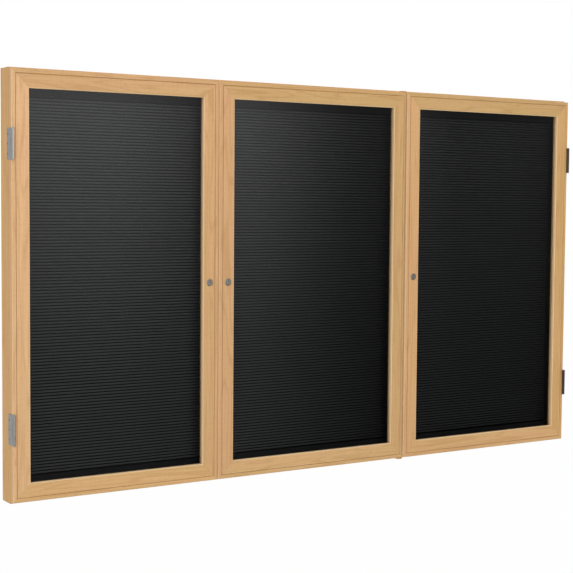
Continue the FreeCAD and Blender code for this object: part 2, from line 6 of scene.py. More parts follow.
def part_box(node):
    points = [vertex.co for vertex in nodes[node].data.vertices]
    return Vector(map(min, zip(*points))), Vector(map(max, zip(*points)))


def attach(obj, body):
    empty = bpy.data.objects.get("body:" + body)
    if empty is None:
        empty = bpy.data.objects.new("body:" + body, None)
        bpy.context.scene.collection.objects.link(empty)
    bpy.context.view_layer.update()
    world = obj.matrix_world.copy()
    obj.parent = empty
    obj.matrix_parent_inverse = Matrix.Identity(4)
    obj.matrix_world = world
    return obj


# A wall-hung letter board: three glazed oak doors over grooved black felt panels.
# Metres, with X to the viewer's right, Z up and Y into the wall. The doors face -Y.

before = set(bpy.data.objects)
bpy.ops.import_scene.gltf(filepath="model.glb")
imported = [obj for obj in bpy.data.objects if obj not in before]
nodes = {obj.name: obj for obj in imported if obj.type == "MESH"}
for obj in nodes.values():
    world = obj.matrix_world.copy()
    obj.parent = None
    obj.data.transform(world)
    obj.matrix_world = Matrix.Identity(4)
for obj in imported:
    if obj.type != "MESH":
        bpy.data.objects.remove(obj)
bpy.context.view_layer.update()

MM = 0.001
DOORS = ("left", "middle", "right")
BOARD_HALF_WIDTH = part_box("cabinet_top_rail")[1].x
BOARD_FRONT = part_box("left_door_top_rail")[0].y
WHITE = (1, 1, 1, 1)


def paint(red, green, blue):
    """A colour as a picture shows it, from 0 to 255, in the linear values that shaders take."""
    def linear(level):
        share = level / 255
        return share / 12.92 if share <= 0.04045 else ((share + 0.055) / 1.055) ** 2.4
    return (linear(red), linear(green), linear(blue), 1.0)


def lighter(colour, amount):
    """A colour times one amount, or times one amount for each of red, green and blue."""
    amounts = amount if isinstance(amount, tuple) else (amount,) * 3
    return tuple(min(1.0, part * share) for part, share in zip(colour, amounts)) + (1.0,)


class Wiring:
    """A node tree in the making: a finish, the studio, or a piece that is grown."""

    def node(self, kind, inputs=(), **settings):
        """Add a node with its own settings, and with values or links for its inputs."""
        made = self.tree.nodes.new(kind)
        for name, value in settings.items():
            setattr(made, name, value)
        for socket, value in dict(inputs).items():
            self.feed(made.inputs[socket], value)
        return made

    def feed(self, socket, value):
        """Link an input to another node's output, or set it to a plain value."""
        if isinstance(value, bpy.types.NodeSocket):
            self.tree.links.new(value, socket)
        else:
            socket.default_value = value

    def math(self, operation, *values):
        made = self.node("ShaderNodeMath", dict(enumerate(values)), operation=operation)
        return made.outputs[0]


class Finish(Wiring):
    """A material in the making: one Principled surface and the pattern nodes that feed it."""

    def __init__(self, name):
        self.material = bpy.data.materials.new(name)
        self.material.use_nodes = True
        self.tree = self.material.node_tree
        self.surface = self.tree.nodes["Principled BSDF"]
        self.output = self.tree.nodes["Material Output"]

    def set(self, **values):
        """Set the surface's own sockets, their spaces written as underscores."""
        for name, value in values.items():
            self.feed(self.surface.inputs[name.replace("_", " ")], value)

    def place(self, shift=(0, 0, 0), turn=(0, 0, 0)):
        """Object coordinates, turned and then moved."""
        spot = self.node("ShaderNodeTexCoord").outputs["Object"]
        inputs = {"Vector": spot, "Location": shift, "Rotation": turn}
        return self.node("ShaderNodeMapping", inputs).outputs["Vector"]

    def stretch(self, spot, along, across, deep=None):
        """Coordinates scaled apart, so that a pattern draws out along its first axis."""
        scale = (along, across, across if deep is None else deep)
        made = self.node("ShaderNodeVectorMath", {0: spot, 1: scale}, operation="MULTIPLY")
        return made.outputs[0]

    def noise(self, spot, scale=1.0, detail=2.0, rough=0.5, bend=0.0):
        inputs = {"Vector": spot, "Scale": scale, "Detail": detail,
                  "Roughness": rough, "Distortion": bend}
        return self.node("ShaderNodeTexNoise", inputs).outputs[0]

    def span(self, value, low, high, new_low=0.0, new_high=1.0):
        """Map a range of values to a new one, held at its ends."""
        inputs = {"Value": value, "From Min": low, "From Max": high,
                  "To Min": new_low, "To Max": new_high}
        return self.node("ShaderNodeMapRange", inputs).outputs[0]

    def mix(self, share, one, other):
        """One colour with a share of another."""
        made = self.node("ShaderNodeMix", data_type="RGBA")
        self.feed(made.inputs[0], share)
        self.feed(made.inputs[6], one)
        self.feed(made.inputs[7], other)
        return made.outputs[2]

    def lay(self, under, mask, strength, over):
        """Lay one colour over another where a mask shows, and no more than a share of it."""
        return self.mix(self.math("MULTIPLY", mask, strength), under, over)

    def axes(self, spot):
        made = self.node("ShaderNodeSeparateXYZ", {0: spot})
        return made.outputs[0], made.outputs[1], made.outputs[2]

    def distance(self, value, line):
        """How far a value is from a line, on either side of it."""
        return self.math("ABSOLUTE", self.math("SUBTRACT", value, line))

    def emboss(self, height, distance, strength=1.0):
        """Raise the surface where a pattern is high, as far as a distance."""
        inputs = {"Height": height, "Distance": distance, "Strength": strength}
        made = self.node("ShaderNodeBump", inputs).outputs[0]
        self.feed(self.surface.inputs["Normal"], made)
        return made

    def blend(self, share, under, over):
        """Lay a share of one shader over another."""
        inputs = {0: share, 1: under.outputs[0], 2: over.outputs[0]}
        return self.node("ShaderNodeMixShader", inputs)

    def show(self, shader):
        """Let a shader take the place of the plain surface."""
        self.feed(self.output.inputs["Surface"], shader.outputs[0])


# Oak

OAK_PALE = paint(225, 183, 133)
OAK_MID = paint(210, 166, 115)
OAK_ROSY = paint(215, 163, 115)
OAK_OLIVE = paint(201, 164, 107)
OAK_LATE = paint(178, 129, 79)
OAK_PORE = paint(140, 98, 58)
# Painted light and shade on a door's frame: a highlight on the inner arris and one along the
# upright outer edges, pale light on the upright outer faces in the gaps between doors, shade on
# those at the board's ends, and shade in the quirk, whose colour also marks the dark mitre lines
OAK_ARRIS_HIGHLIGHT = paint(236, 208, 166)
OAK_EDGE_HIGHLIGHT = paint(250, 224, 182)
OAK_GAP_CHEEK_LIGHT = paint(255, 236, 202)
OAK_END_CHEEK_SHADE = paint(190, 146, 94)
OAK_QUIRK_SHADE_AND_JOINT = paint(150, 106, 62)

# Turns that bring the direction of the grain onto a pattern's first axis
GRAIN_TURNS = {"X": (0, 0, 0), "Z": (0, math.pi / 2, 0)}
# How close each pattern's marks lie along the grain and across it, in marks to the metre
GRAIN_STRETCHES = {"streaks": (3.0, 300.0), "fine": (9.0, 900.0), "drift": (1.7, 26.0),
                   "growth": (1.3, 21.0), "pores": (75.0, 2600.0)}
# How strongly each pattern colours the wood
GRAIN_SHARES = {"drift": 0.38, "growth": 0.32, "fine": 0.16, "pores": 0.42}
GROWTH_LINES = 11.0
# How high the streaks stand, as a share of how deep the pores go
STREAK_RELIEF = 0.35
PORE_RELIEF = 0.12 * MM
CABINET_GLOSS = 0.14
DOOR_GLOSS = 0.24


def oak_grain(wood, run, shift, tone):
    """Streaks, growth lines and open pores, drawn out along the grain. Returns the colour, the
    relief and the pores."""
    spot = wood.place(shift, GRAIN_TURNS[run])
    marks = {name: wood.stretch(spot, *scales) for name, scales in GRAIN_STRETCHES.items()}
    streaks = wood.span(wood.noise(marks["streaks"], detail=4, rough=0.62), 0.37, 0.63)
    fine = wood.span(wood.noise(marks["fine"]), 0.3, 0.7)
    drift = wood.span(wood.noise(marks["drift"]), 0.32, 0.68)
    growth = wood.math("MULTIPLY", wood.noise(marks["growth"], bend=0.35), GROWTH_LINES)
    growth = wood.span(wood.math("PINGPONG", growth, 0.5), 0.30, 0.5)
    pores = wood.span(wood.noise(marks["pores"], detail=1, rough=0.4), 0.60, 0.70)

    colour = wood.mix(streaks, lighter(OAK_PALE, tone), lighter(OAK_MID, tone))
    shade = wood.mix(drift, lighter(OAK_ROSY, tone), lighter(OAK_OLIVE, tone))
    colour = wood.mix(GRAIN_SHARES["drift"], colour, shade)
    colour = wood.lay(colour, growth, GRAIN_SHARES["growth"], lighter(OAK_LATE, tone))
    colour = wood.lay(colour, fine, GRAIN_SHARES["fine"], lighter(OAK_LATE, tone))
    colour = wood.lay(colour, pores, GRAIN_SHARES["pores"], lighter(OAK_PORE, tone))
    relief = wood.math("SUBTRACT", wood.math("MULTIPLY", streaks, STREAK_RELIEF), pores)
    return colour, relief, pores


def varnish(wood, colour, relief, pores, gloss):
    """A thin satin varnish, duller in the pores, which still show through it."""
    wood.set(Base_Color=colour, Roughness=wood.span(pores, 0.0, 1.0, 0.40, 0.58),
             Specular_IOR_Level=gloss)
    wood.emboss(relief, PORE_RELIEF)


def cabinet_oak(name, run, shift, tone):
    """Plain varnished oak, with its grain along one axis."""
    wood = Finish(name)
    varnish(wood, *oak_grain(wood, run, shift, tone), CABINET_GLOSS)
    return wood.material


# A door's frame, from its outer edge inwards: a bead, the quirk beside it, where shade is painted,
# and the arris along the pane, where a highlight is painted. Each pair is where a mark fades in
# and where it is full.
BEAD_WIDTH = 10 * MM
QUIRK_WIDTH = 2 * MM
QUIRK_FADE = (1.2 * MM, 0.5 * MM)
ARRIS_FADE = (43.9 * MM, 44.8 * MM)
MITRE_FADE = (0.35 * MM, 0.15 * MM)
EDGE_HIGHLIGHT_FADE = (1.2 * MM, 0.5 * MM)
CHEEK_FADE = (0.3 * MM, 0.1 * MM)
FRONT_FADE = (BOARD_FRONT + 4 * MM, BOARD_FRONT + 2 * MM)
FRAME_SHARES = {"arris_highlight": 0.55, "quirk": 0.45, "mitre": 0.35, "edge_highlight": 0.30, "cheek_shading": 0.80}


def door_oak(name, run, shift, tone, low, high, cheek_painted_colour):
    """Oak with what shows on a door's frame: painted shade in the quirk, a painted highlight on
    the arris along the pane, dark mitre lines, a painted highlight along the upright outer edges,
    and on the door's upright outer faces a painted colour, light or shade as the caller gives it."""
    wood = Finish(name)
    colour, relief, pores = oak_grain(wood, run, shift, tone)
    across, deep, up = wood.axes(wood.place())
    middle = (low + high) / 2
    half = (high - low) / 2
    from_side = wood.math("SUBTRACT", half.x, wood.distance(across, middle.x))
    from_end = wood.math("SUBTRACT", half.z, wood.distance(up, middle.z))
    inward = wood.math("MINIMUM", from_side, from_end)
    in_front = wood.span(deep, *FRONT_FADE)

    # A painted highlight on the arris and along the upright outer edges, painted shade in the
    # quirk, and dark mitre lines
    arris_highlight = wood.span(inward, *ARRIS_FADE)
    quirk = wood.span(wood.distance(inward, BEAD_WIDTH + QUIRK_WIDTH / 2), *QUIRK_FADE)
    quirk = wood.math("MULTIPLY", quirk, in_front)
    mitre = wood.span(wood.distance(from_side, from_end), *MITRE_FADE)
    edge_highlight = wood.math("MULTIPLY", wood.span(from_side, *EDGE_HIGHLIGHT_FADE), in_front)
    # The upright outer faces take the painted light or painted shade that the caller gives
    cheek_shading = wood.span(from_side, *CHEEK_FADE)

    colour = wood.lay(colour, arris_highlight, FRAME_SHARES["arris_highlight"], OAK_ARRIS_HIGHLIGHT)
    colour = wood.lay(colour, quirk, FRAME_SHARES["quirk"], OAK_QUIRK_SHADE_AND_JOINT)
    colour = wood.lay(colour, mitre, FRAME_SHARES["mitre"], OAK_QUIRK_SHADE_AND_JOINT)
    colour = wood.lay(colour, edge_highlight, FRAME_SHARES["edge_highlight"], OAK_EDGE_HIGHLIGHT)
    colour = wood.lay(colour, cheek_shading, FRAME_SHARES["cheek_shading"], cheek_painted_colour)
    varnish(wood, colour, relief, pores, DOOR_GLOSS)
    return wood.material


# Black pieces and the backing board

FELT_LINT = paint(70, 70, 73)
LINT_SHARE = 0.12
# The nap's deepest and palest shades, against its own colour
NAP_SHADES = (0.75, 1.25)
NAP_RELIEF = 0.10 * MM
FLAT_BLACKS = (paint(6, 6, 7), paint(13, 13, 14))
FLAT_BLACK_RELIEF = 0.10 * MM
HARDBOARD_BROWNS = (paint(122, 88, 58), paint(148, 110, 76))
HARDBOARD_CLOUD = paint(112, 82, 56)
HARDBOARD_RELIEF = 0.20 * MM


def black_felt(name, left_end, right_end, left, right, sheen):
    """Short wool nap: near black, with a painted sheen that makes it paler towards one end, lint,
    and a soft sheen.
    """
    felt = Finish(name)
    spot = felt.place()
    nap = felt.noise(spot, scale=1400, detail=3, rough=0.7)
    lint = felt.span(felt.noise(felt.stretch(spot, 240, 620), detail=3, rough=0.6), 0.62, 0.78)
    # Painted sheen: the nap is paler at one end than at the other
    across = felt.span(felt.axes(spot)[0], left_end, right_end)
    deep, raised = (felt.mix(across, lighter(left, shade), lighter(right, shade))
                    for shade in NAP_SHADES)
    colour = felt.mix(felt.span(nap, 0.3, 0.7), deep, raised)
    felt.set(Base_Color=felt.lay(colour, lint, LINT_SHARE, FELT_LINT),
             Roughness=felt.span(nap, 0.3, 0.7, 0.50, 0.62), Specular_IOR_Level=sheen)
    felt.emboss(nap, NAP_RELIEF, 0.6)
    return felt.material


def matt_black(name, grain):
    """A flat black, with the grain of what lies under it just showing."""
    black = Finish(name)
    spot = black.place()
    brushed = black.noise(black.stretch(spot, *grain), detail=3)
    cloud = black.noise(spot, scale=30, detail=2)
    black.set(Base_Color=black.mix(cloud, *FLAT_BLACKS), Specular_IOR_Level=0.16,
              Roughness=black.span(brushed, 0.3, 0.7, 0.60, 0.74))
    black.emboss(brushed, FLAT_BLACK_RELIEF, 0.6)
    return black.material


def hardboard(name):
    """Pressed brown board, fibrous and a little cloudy."""
    board = Finish(name)
    spot = board.place()
    fibres = board.noise(board.stretch(spot, 260, 700, 260), detail=4, rough=0.7)
    cloud = board.noise(spot, scale=14, detail=3)
    colour = board.mix(board.span(fibres, 0.3, 0.7), *HARDBOARD_BROWNS)
    board.set(Base_Color=board.lay(colour, cloud, 0.4, HARDBOARD_CLOUD),
              Roughness=board.span(fibres, 0.3, 0.7, 0.72, 0.86))
    board.emboss(fibres, HARDBOARD_RELIEF, 0.8)
    return board.material


# Metals and panes

# The deepest and palest shades of draw marks and of turning marks, against the metal's own
# colour, and how far the marks stand up
DRAW_SHADES = (0.90, 1.07)
DRAW_RELIEF = 0.05 * MM
TURNED_SHADES = (0.90, 1.04)
TURNED_RELIEF = 0.02 * MM
# How dark the dull patches are, how much of that shows, and what they add to the roughness
DULLED = {"shade": 0.62, "share": 0.35, "rough": 0.16}
WORN = {"shade": 0.60, "share": 0.25, "rough": 0.14}
# Where a painted highlight runs down a hinge's knuckle: its outermost depth, and the side towards
# its door
KNUCKLE_PROUD = (BOARD_FRONT - 7.0 * MM, BOARD_FRONT - 7.8 * MM)
KNUCKLE_INNER = (0.4 * MM - BOARD_HALF_WIDTH, 1.1 * MM - BOARD_HALF_WIDTH)


def satin_steel(name, colour, rough, draw, knuckle_highlight=None):
    """Plated metal with fine draw marks along one axis and a little dulling in patches. The left
    hinges' knuckles can have a painted highlight, down the line that stands out furthest."""
    steel = Finish(name)
    spot = steel.place()
    marks = steel.noise(steel.stretch(spot, *draw), detail=3, rough=0.6)
    dull = steel.span(steel.noise(spot, scale=180, detail=3), 0.4, 0.75)
    tint = steel.mix(marks, *(lighter(colour, shade) for shade in DRAW_SHADES))
    tint = steel.lay(tint, dull, DULLED["share"], lighter(colour, DULLED["shade"]))
    # A painted highlight down the knuckle
    if knuckle_highlight:
        across, deep, up = steel.axes(spot)
        tint = steel.lay(tint, steel.span(deep, *KNUCKLE_PROUD),
                         steel.span(across, *KNUCKLE_INNER), knuckle_highlight)
    steel.set(Base_Color=tint, Metallic=1.0,
              Roughness=steel.span(dull, 0.0, 1.0, rough, rough + DULLED["rough"]))
    steel.emboss(marks, DRAW_RELIEF, 0.5)
    return steel.material


def lock_nickel(name, centre, colour, rough):
    """Dulled plating with faint turning marks round the lock's own axis."""
    nickel = Finish(name)
    spot = nickel.place(shift=-centre)
    inputs = {"Vector": spot, "Scale": 900.0, "Distortion": 1.2, "Detail": 2.0}
    rings = nickel.node("ShaderNodeTexWave", inputs, wave_type="RINGS", rings_direction="Y")
    wear = nickel.span(nickel.noise(spot, scale=320, detail=3), 0.42, 0.72)
    tint = nickel.mix(rings.outputs["Fac"], *(lighter(colour, shade) for shade in TURNED_SHADES))
    tint = nickel.lay(tint, wear, WORN["share"], lighter(colour, WORN["shade"]))
    nickel.set(Base_Color=tint, Metallic=1.0,
               Roughness=nickel.span(wear, 0.0, 1.0, rough, rough + WORN["rough"]))
    nickel.emboss(rings.outputs["Fac"], TURNED_RELIEF, 0.4)
    return nickel.material


PANE_BOW = 4.9 * MM
PANE_INDEX = 1.46
# How many times one face's mirroring the sheet has
PANE_FACES = 1.92
PANE_TINT = (0.975, 0.985, 0.98, 1)
PANE_SMEAR = (0.94, 0.95, 0.95, 1)


def clear_pane(name, centre, half_width):
    """Clear sheet glazing. It bows a little towards the room, mirrors nearly twice what one
    face does, since a sheet has two, and carries the faintest smears."""
    pane = Finish(name)
    spot = pane.place(shift=-centre)
    smears = pane.noise(spot, scale=5, detail=3)
    across = pane.math("DIVIDE", pane.axes(spot)[0], half_width)
    bow = pane.math("SUBTRACT", 1.0, pane.math("MULTIPLY", across, across))
    bent = pane.emboss(bow, PANE_BOW)
    pane.set(Base_Color=pane.mix(smears, PANE_SMEAR, WHITE), Metallic=1.0,
             Roughness=pane.span(smears, 0.35, 0.75, 0.0, 0.03))
    mirrored = pane.node("ShaderNodeFresnel", {"IOR": PANE_INDEX, "Normal": bent}).outputs[0]
    inside = pane.node("ShaderNodeNewGeometry").outputs["Backfacing"]
    share = pane.math("MULTIPLY", pane.math("MULTIPLY", mirrored, PANE_FACES),
                      pane.math("SUBTRACT", 1.0, inside))
    clear = pane.node("ShaderNodeBsdfTransparent", {"Color": PANE_TINT})
    pane.show(pane.blend(share, clear, pane.surface))
    return pane.material


def dress(node, material):
    """Give a CAD node one material all over."""
    slots = nodes[node].data.materials
    if not slots:
        slots.append(material)
    for number in range(len(slots)):
        slots[number] = material


def middle_of(node):
    """The centre of a CAD node's box."""
    low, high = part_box(node)
    return (low + high) / 2


def box_round(names):
    """The lowest and highest corners of several nodes together."""
    boxes = [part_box(name) for name in names]
    low = Vector(min(parts) for parts in zip(*(box[0] for box in boxes)))
    high = Vector(max(parts) for parts in zip(*(box[1] for box in boxes)))
    return low, high


# Dressing the cabinet

# Each board's run of the grain, where in the pattern it is cut from, and its tone
CABINET_BOARDS = {
    "cabinet_top_rail": ("X", (0.31, 0.07, 1.90), (0.95, 0.92, 0.86)),
    "cabinet_bottom_rail": ("X", (2.45, 0.53, 0.66), (0.94, 0.90, 0.84)),
    "cabinet_left_side": ("Z", (1.27, 0.91, 0.38), (0.85, 0.80, 0.62)),
    "cabinet_right_side": ("Z", (3.62, 0.22, 1.05), (0.86, 0.81, 0.66)),
}
for board, (run, shift, tone) in CABINET_BOARDS.items():
    dress(board, cabinet_oak(board + "_oak", run, shift, tone))

# The ribs' nap colour at the left and right ends of each panel; its fall from end to end, and from
# the left panel to the right one, is a painted sheen
RIB_NAP_SHEEN_ENDS = {
    "left": (paint(53, 53, 54), paint(47, 47, 48)),
    "middle": (paint(54, 54, 55), paint(21, 21, 22)),
    "right": (paint(38, 38, 39), paint(29, 29, 30)),
}
# The same for the grooves' felt, painted far darker than the ribs as shade where the nap is hidden
# from the light, with the same painted sheen paler towards the left, and how far to the left and
# right of the board's middle each colour is full
GROOVE_NAP_SHADE_ENDS = (paint(17, 17, 18), paint(3, 3, 3))
GROOVE_ENDS = (-0.9, 0.9)
RIB_SHEEN = 0.08

groove_felt = black_felt("groove_felt", *GROOVE_ENDS, *GROOVE_NAP_SHADE_ENDS, 0.0)
ribbed_felts = {}
trim_black = matt_black("trim_black", (120, 120, 120))
mullion_black = matt_black("mullion_black", (900, 900, 14))
dress("back_panel", hardboard("back_panel_hardboard"))
for side, naps in RIB_NAP_SHEEN_ENDS.items():
    low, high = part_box(f"{side}_letter_panel")
    ribbed_felts[side] = black_felt(f"{side}_ribbed_felt", low.x, high.x, *naps, RIB_SHEEN)
    dress(f"{side}_letter_panel", groove_felt)
    dress(f"{side}_panel_trim", trim_black)
dress("left_mullion", mullion_black)
dress("right_mullion", mullion_black)

STEEL = paint(150, 149, 147)
STEEL_KNUCKLE_HIGHLIGHT = paint(240, 235, 226)
STEEL_PAINTED_SHADE = paint(84, 77, 70)
LEAF_ROUGH = 0.46
LEAF_DRAW = (900, 900, 22)
# The same hinge on both sides: the left ones with a painted highlight down their knuckles, the
# right ones painted dark as shade
hinge_steels = {
    "left": satin_steel("left_hinge_steel_highlit", STEEL, LEAF_ROUGH, LEAF_DRAW, STEEL_KNUCKLE_HIGHLIGHT),
    "right": satin_steel("right_hinge_steel_shaded", STEEL_PAINTED_SHADE, LEAF_ROUGH, LEAF_DRAW),
}
bracket_enamel = cabinet_oak("bracket_oak_enamel", "X", (0.7, 0.3, 2.2), (0.95, 0.92, 0.86))
zinc_steel = satin_steel("zinc_steel", paint(182, 180, 172), 0.36, (520, 520, 520))
pin_steel = satin_steel("pin_steel", paint(190, 190, 194), 0.24, (1200, 1200, 60))
bush_brass = satin_steel("bush_brass", paint(196, 160, 92), 0.30, (900, 900, 40))
for side in ("left", "right"):
    dress(f"{side}_hinge_pins", pin_steel)
    for spot in ("upper", "lower"):
        dress(f"{side}_{spot}_hinge_fixed_leaf", hinge_steels[side])
        dress(f"{side}_{spot}_hinge_door_leaf", hinge_steels[side])
dress("upper_pivot_bracket", bracket_enamel)
dress("lower_pivot_bracket", bracket_enamel)
dress("strike_plates", zinc_steel)
dress("middle_door_pivot_bushes", bush_brass)

# Dressing the doors and locks

MEMBER_RUNS = {"hinge_stile": "Z", "lock_stile": "Z", "top_rail": "X", "bottom_rail": "X"}
# Where in the pattern each member is cut from, so that no two have the same grain: its own
# place along it, the steps to the next door's, and how much deeper for each metre along
MEMBER_SHIFTS = {"hinge_stile": 0.0, "lock_stile": 1.73, "top_rail": 3.31, "bottom_rail": 5.09}
DOOR_STEP_ALONG = 0.83
DOOR_STEP_ACROSS = 0.41
DEPTH_PER_METRE = 0.37
# How light or dark each member's board is, in its red, green and blue
MEMBER_TONES = {
    "left": {"hinge_stile": (1.00, 1.02, 1.12), "lock_stile": (0.89, 0.88, 0.90),
             "top_rail": (0.87, 0.87, 0.88), "bottom_rail": (0.92, 0.95, 0.91)},
    "middle": {"hinge_stile": (0.835, 0.855, 0.825), "lock_stile": (0.89, 0.865, 0.92),
               "top_rail": (0.81, 0.845, 0.785), "bottom_rail": (0.90, 0.935, 0.935)},
    "right": {"hinge_stile": (0.88, 0.89, 0.80), "lock_stile": (0.925, 0.895, 0.915),
              "top_rail": (0.805, 0.85, 0.80), "bottom_rail": (0.925, 0.93, 0.935)},
}
STRIP_TONE = 0.93
# The colour and roughness of each lock's plated pieces
LOCK_LOOKS = {"barrel": (paint(176, 170, 160), 0.44), "plug": (paint(194, 191, 180), 0.48)}

for number, side in enumerate(DOORS):
    low, high = box_round(f"{side}_door_{member}" for member in MEMBER_RUNS)
    for member, run in MEMBER_RUNS.items():
        along = MEMBER_SHIFTS[member]
        shift = (along + number * DOOR_STEP_ALONG, number * DOOR_STEP_ACROSS,
                 along * DEPTH_PER_METRE)
        name = f"{side}_door_{member}"
        # Painted light on the upright outer faces in the gaps between doors, and painted shade on
        # those at the board's ends
        at_board_end = side != "middle" and member == "hinge_stile"
        cheek_shading = OAK_END_CHEEK_SHADE if at_board_end else OAK_GAP_CHEEK_LIGHT
        tone = MEMBER_TONES[side][member]
        dress(name, door_oak(name + "_oak", run, shift, tone, low, high, cheek_shading))
    shift = (number * 1.1 + 0.5, 0.2, 0.9)
    dress(f"{side}_door_glazing_strips",
          cabinet_oak(f"{side}_door_strips_oak", "Z", shift, STRIP_TONE))
    pane = f"{side}_door_pane"
    centre = middle_of(pane)
    dress(pane, clear_pane(f"{side}_pane_clear", centre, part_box(pane)[1].x - centre.x))
    centre = middle_of(f"{side}_lock_barrel")
    for piece, (colour, rough) in LOCK_LOOKS.items():
        name = f"{side}_lock_{piece}"
        dress(name, lock_nickel(name + "_nickel", centre, colour, rough))
    dress(f"{side}_lock_nut", zinc_steel)
    dress(f"{side}_lock_cam", zinc_steel)


# Pieces grown from node trees

class Grower(Wiring):
    """A geometry node tree in the making, with named inputs for its sizes."""

    def __init__(self, name, sizes):
        self.tree = bpy.data.node_groups.new(name, "GeometryNodeTree")
        sockets = self.tree.interface
        sockets.new_socket("Geometry", in_out="INPUT", socket_type="NodeSocketGeometry")
        for size, kind in sizes.items():
            sockets.new_socket(size, in_out="INPUT", socket_type="NodeSocket" + kind)
        sockets.new_socket("Material", in_out="INPUT", socket_type="NodeSocketMaterial")
        sockets.new_socket("Geometry", in_out="OUTPUT", socket_type="NodeSocketGeometry")
        self.given = self.tree.nodes.new("NodeGroupInput").outputs
        self.result = self.tree.nodes.new("NodeGroupOutput").inputs[0]

    def vector(self, across=0.0, deep=0.0, up=0.0):
        return self.node("ShaderNodeCombineXYZ", {0: across, 1: deep, 2: up}).outputs[0]

    def finish(self, instances):
        """Make the copies real and give them their material."""
        real = self.node("GeometryNodeRealizeInstances", {0: instances}).outputs[0]
        dressed = self.node("GeometryNodeSetMaterial", {
            "Geometry": real, "Material": self.given["Material"]})
        self.feed(self.result, dressed.outputs[0])
        return self.tree


def link(name, mesh):
    """A new object in the scene, with this mesh."""
    piece = bpy.data.objects.new(name, mesh)
    bpy.context.scene.collection.objects.link(piece)
    return piece


def grow(name, tree, sizes, body, points=None):
    """Run a tree once and keep the result as a plain mesh that rides on a body."""
    carrier = link(name + "_carrier", points or bpy.data.meshes.new(name + "_carrier"))
    modifier = carrier.modifiers.new("grow", "NODES")
    modifier.node_group = tree
    for item in tree.interface.items_tree:
        if item.in_out == "INPUT" and item.name in sizes:
            modifier[item.identifier] = sizes[item.name]
    graph = bpy.context.evaluated_depsgraph_get()
    mesh = bpy.data.meshes.new_from_object(carrier.evaluated_get(graph), depsgraph=graph)
    bpy.data.objects.remove(carrier)
    piece = link(name, mesh)
    mesh.name = name
    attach(piece, body)


def rib_tree():
    """Felt drawn over the lands between the grooves: a low rounded rib, repeated upwards."""
    tree = Grower("felt_ribs", {
        "Length": "Float", "Pitch": "Float", "Rib Width": "Float", "Rib Height": "Float",
        "Count": "Int", "Start": "Vector"})
    given = tree.given
    half = tree.math("DIVIDE", given["Rib Width"], 2.0)
    crown = tree.node("GeometryNodeCurveArc", {
        "Resolution": 9, "Radius": 1.0, "Start Angle": 0.0, "Sweep Angle": math.pi}, mode="RADIUS")
    turned = tree.node("GeometryNodeTransform", {
        "Geometry": crown.outputs[0], "Rotation": (0, 0, -math.pi / 2)})
    size = tree.vector(given["Rib Height"], half, 1.0)
    section = tree.node("GeometryNodeTransform", {"Geometry": turned.outputs[0], "Scale": size})
    closed = tree.node("GeometryNodeSetSplineCyclic", {
        "Geometry": section.outputs[0], "Cyclic": True})
    line = tree.node("GeometryNodeCurvePrimitiveLine", {
        "Start": (0, 0, 0), "End": tree.vector(given["Length"], 0.0, 0.0)})
    rib = tree.node("GeometryNodeCurveToMesh", {
        "Curve": line.outputs[0], "Profile Curve": closed.outputs[0], "Fill Caps": True})
    row = tree.node("GeometryNodeMeshLine", {
        "Count": given["Count"], "Start Location": given["Start"],
        "Offset": tree.vector(0.0, 0.0, given["Pitch"])})
    copies = tree.node("GeometryNodeInstanceOnPoints", {
        "Points": row.outputs[0], "Instance": rib.outputs[0]})
    return tree.finish(copies.outputs[0])


# A screw head's parts, as shares of its radius or of its recess, and how far it is let in
CROWN_SHARE = 0.74
RECESS_REACH = 1.15
RECESS_DEPTHS = (2.0, 1.84)
HEAD_SUNK = 0.6 * MM


def screw_tree():
    """A raised countersunk head with a cross recess, set at each point along its facing."""
    tree = Grower("screw_heads", {
        "Head Radius": "Float", "Rise": "Float", "Recess Width": "Float",
        "Recess Depth": "Float", "Seed": "Int"})
    given = tree.given
    crown = tree.math("MULTIPLY", given["Head Radius"], CROWN_SHARE)
    head = tree.node("GeometryNodeMeshCone", {
        "Vertices": 24, "Radius Top": crown, "Radius Bottom": given["Head Radius"],
        "Depth": tree.math("ADD", given["Rise"], HEAD_SUNK)})
    seated = tree.node("GeometryNodeTransform", {
        "Geometry": head.outputs["Mesh"], "Translation": (0, 0, -HEAD_SUNK)})
    cut = tree.node("GeometryNodeMeshBoolean", {"Mesh 1": seated.outputs[0]},
                    operation="DIFFERENCE")
    long = tree.math("MULTIPLY", given["Head Radius"], RECESS_REACH)
    short = given["Recess Width"]
    level = tree.vector(0.0, 0.0, given["Rise"])
    for (across, along), share in zip(((long, short), (short, long)), RECESS_DEPTHS):
        deep = tree.math("MULTIPLY", given["Recess Depth"], share)
        bar = tree.node("GeometryNodeMeshCube", {"Size": tree.vector(across, along, deep)})
        slot = tree.node("GeometryNodeTransform", {
            "Geometry": bar.outputs["Mesh"], "Translation": level})
        tree.feed(cut.inputs["Mesh 2"], slot.outputs[0])
    facing = tree.node("GeometryNodeInputNamedAttribute", {"Name": "facing"},
                       data_type="FLOAT_VECTOR")
    aimed = tree.node("FunctionNodeAlignRotationToVector", {"Vector": facing.outputs[0]}, axis="Z")
    turn = tree.node("FunctionNodeRandomValue", {"Seed": given["Seed"]}, data_type="FLOAT")
    for socket in turn.inputs:
        if socket.name == "Max" and socket.type == "VALUE":
            socket.default_value = math.pi
    angle = next(socket for socket in turn.outputs if socket.type == "VALUE")
    spin = tree.node("FunctionNodeAxisAngleToRotation", {"Axis": (0, 0, 1), "Angle": angle})
    turned = tree.node("FunctionNodeRotateRotation", {
        "Rotation": aimed.outputs[0], "Rotate By": spin.outputs[0]}, rotation_space="LOCAL")
    copies = tree.node("GeometryNodeInstanceOnPoints", {
        "Points": given["Geometry"], "Instance": cut.outputs[0], "Rotation": turned.outputs[0]})
    return tree.finish(copies.outputs[0])


